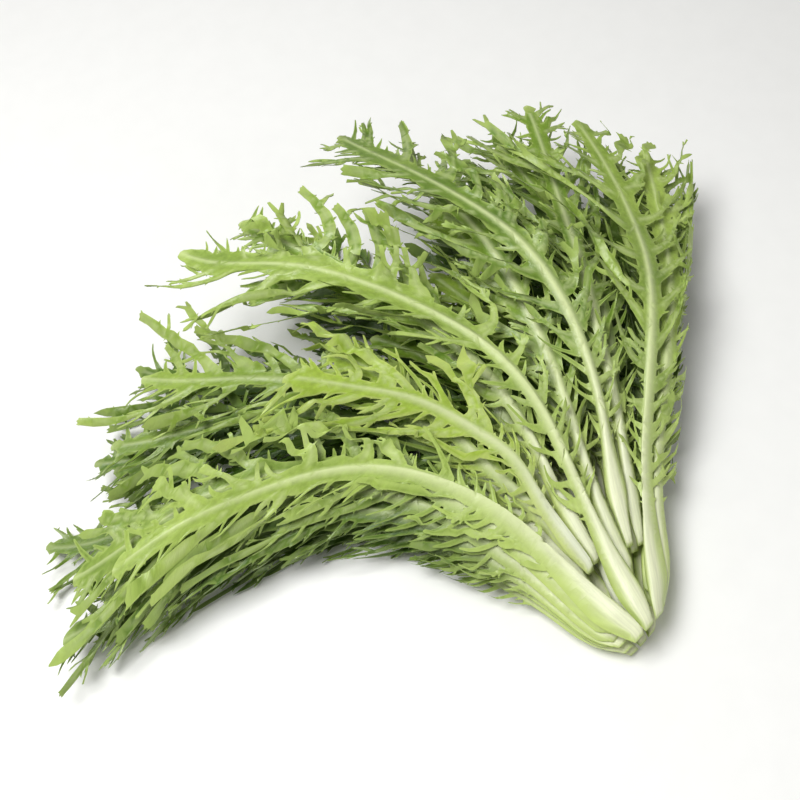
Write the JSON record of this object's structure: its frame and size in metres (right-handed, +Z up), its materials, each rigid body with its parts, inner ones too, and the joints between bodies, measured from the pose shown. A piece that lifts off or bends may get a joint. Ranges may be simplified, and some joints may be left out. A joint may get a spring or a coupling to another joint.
{
  "type": "curly endive head",
  "caption": "Whole curly endive (frisee) lying on its side: pale stalks spread from a round butt into a fan of deeply cut, curling green leaves.",
  "frame": {"origin": "under the middle of the head's bounding box, on the surface it lies on", "axes": "+X across the fan of leaves, +Y from the cut butt to the leaf tips, +Z up from the surface"},
  "size_m": [0.4406, 0.3116, 0.1131],
  "materials": {
    "crown": "matt",
    "outer_leaf": "satin",
    "middle_leaf": "satin",
    "heart_leaf": "satin"
  },
  "bodies": {
    "root": {"crown": "crown", "outer_leaf_01": "outer_leaf", "outer_leaf_02": "outer_leaf", "outer_leaf_03": "outer_leaf", "outer_leaf_04": "outer_leaf", "outer_leaf_05": "outer_leaf", "outer_leaf_06": "outer_leaf", "outer_leaf_07": "outer_leaf", "outer_leaf_08": "outer_leaf", "outer_leaf_09": "outer_leaf", "outer_leaf_10": "outer_leaf", "outer_leaf_11": "outer_leaf", "outer_leaf_12": "outer_leaf", "outer_leaf_13": "outer_leaf", "outer_leaf_14": "outer_leaf", "outer_leaf_15": "outer_leaf", "outer_leaf_16": "outer_leaf", "outer_leaf_17": "outer_leaf", "outer_leaf_18": "outer_leaf", "outer_leaf_19": "outer_leaf", "outer_leaf_20": "outer_leaf", "outer_leaf_21": "outer_leaf", "middle_leaf_01": "middle_leaf", "middle_leaf_02": "middle_leaf", "middle_leaf_03": "middle_leaf", "middle_leaf_04": "middle_leaf", "middle_leaf_05": "middle_leaf", "middle_leaf_06": "middle_leaf", "middle_leaf_07": "middle_leaf", "middle_leaf_08": "middle_leaf", "middle_leaf_09": "middle_leaf", "middle_leaf_10": "middle_leaf", "middle_leaf_11": "middle_leaf", "middle_leaf_12": "middle_leaf", "middle_leaf_13": "middle_leaf", "middle_leaf_14": "middle_leaf", "middle_leaf_15": "middle_leaf", "heart_leaf_01": "heart_leaf", "heart_leaf_02": "heart_leaf", "heart_leaf_03": "heart_leaf", "heart_leaf_04": "heart_leaf", "heart_leaf_05": "heart_leaf", "heart_leaf_06": "heart_leaf", "heart_leaf_07": "heart_leaf", "heart_leaf_08": "heart_leaf", "heart_leaf_09": "heart_leaf", "heart_leaf_10": "heart_leaf"}
  },
  "joints": []
}
